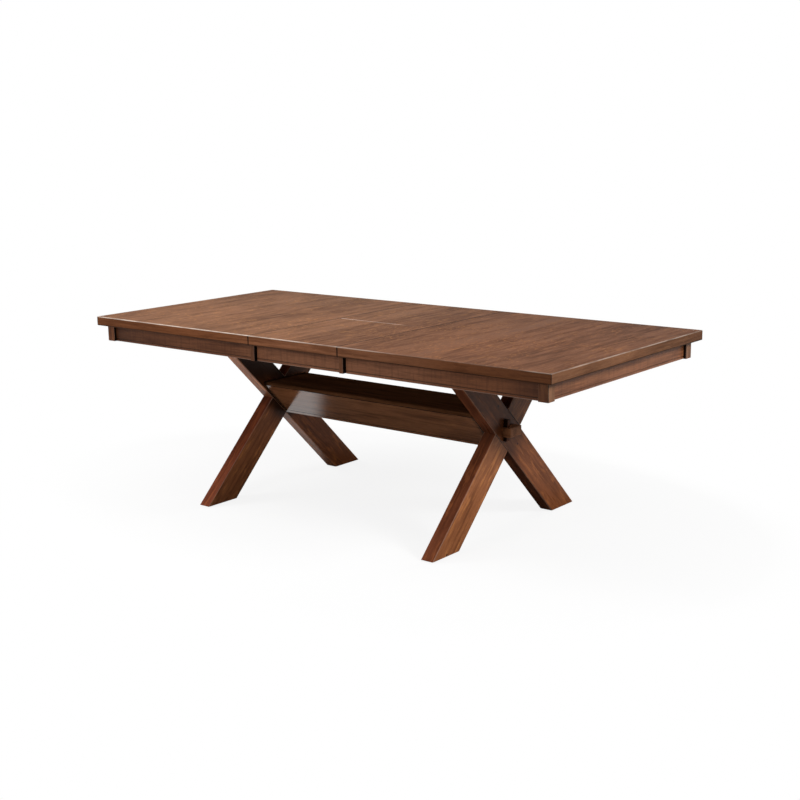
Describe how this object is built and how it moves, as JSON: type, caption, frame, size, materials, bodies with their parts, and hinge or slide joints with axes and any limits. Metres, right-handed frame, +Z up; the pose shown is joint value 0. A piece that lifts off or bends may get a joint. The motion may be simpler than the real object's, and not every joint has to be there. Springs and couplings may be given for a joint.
{
  "type": "extension dining table",
  "caption": "Trestle dining table with crossed legs, a beam keyed through them, and a top drawn out on slides around a folding leaf.",
  "frame": {"origin": "on the floor, under the middle of the leaf and of the whole drawn-out top", "axes": "+Z up; +X along the table, with -X the half that carries the posts at its seam; -Y is the front, the side of the half leaf that folds"},
  "size_m": [2.286, 1.067, 0.762],
  "materials": {
    "top_wood": "brown stained planks, semi-gloss clear coat with fine wear marks",
    "frame_wood": "brown stain, semi-gloss clear coat, darker glaze in the recesses",
    "inner_wood": "matt sealed hardwood, out of sight",
    "steel": "zinc plated",
    "brass": "satin",
    "glide": "moulded"
  },
  "bodies": {
    "base": {"beam_back_board": "frame_wood", "beam_front_board": "frame_wood", "beam_top_board": "frame_wood", "bed_rail_back": "inner_wood", "bed_rail_front": "inner_wood", "foot_glides": "glide", "leaf_back_apron": "frame_wood", "leaf_back_battens": "inner_wood", "leaf_back_edge": "top_wood", "leaf_back_hinge_barrels": "brass", "leaf_back_panel": "top_wood", "leaf_back_post": "frame_wood", "leaf_bearers": "inner_wood", "left_beam_end_tenon": "frame_wood", "left_cleat": "inner_wood", "left_leg_back_foot": "frame_wood", "left_leg_front_foot": "frame_wood", "left_tenon_key": "frame_wood", "leg_bolts": "steel", "rail_bolts": "steel", "right_beam_end_tenon": "frame_wood", "right_cleat": "inner_wood", "right_leg_back_foot": "frame_wood", "right_leg_front_foot": "frame_wood", "right_tenon_key": "frame_wood"},
    "left_top": {"left_apron_back": "frame_wood", "left_apron_end": "frame_wood", "left_apron_front": "frame_wood", "left_battens": "inner_wood", "left_corner_blocks": "inner_wood", "left_corner_post_back": "frame_wood", "left_corner_post_front": "frame_wood", "left_edge_back": "top_wood", "left_edge_end": "top_wood", "left_edge_front": "top_wood", "left_runner_back": "inner_wood", "left_runner_front": "inner_wood", "left_seam_pins": "brass", "left_seam_posts": "frame_wood", "left_top_panel": "top_wood"},
    "right_top": {"right_apron_back": "frame_wood", "right_apron_end": "frame_wood", "right_apron_front": "frame_wood", "right_battens": "inner_wood", "right_corner_blocks": "inner_wood", "right_corner_post_back": "frame_wood", "right_corner_post_front": "frame_wood", "right_edge_back": "top_wood", "right_edge_end": "top_wood", "right_edge_front": "top_wood", "right_runner_back": "inner_wood", "right_runner_front": "inner_wood", "right_seam_pins": "brass", "right_top_panel": "top_wood"},
    "leaf_front": {"leaf_front_apron": "frame_wood", "leaf_front_battens": "inner_wood", "leaf_front_edge": "top_wood", "leaf_front_hinge_barrels": "brass", "leaf_front_panel": "top_wood", "leaf_front_post": "frame_wood"}
  },
  "joints": [
    {"name": "left_half_slide", "type": "slide", "parent": "base", "child": "left_top", "axis": [-1, 0, 0], "range_m": [0, 0.038]},
    {"name": "right_half_slide", "type": "slide", "parent": "base", "child": "right_top", "axis": [1, 0, 0], "range_m": [0, 0.038]},
    {"name": "leaf_fold", "type": "hinge", "parent": "base", "child": "leaf_front", "pos_m": [0, 0, 0.7623], "axis": [-1, 0, 0], "range_deg": [0, 180]}
  ]
}
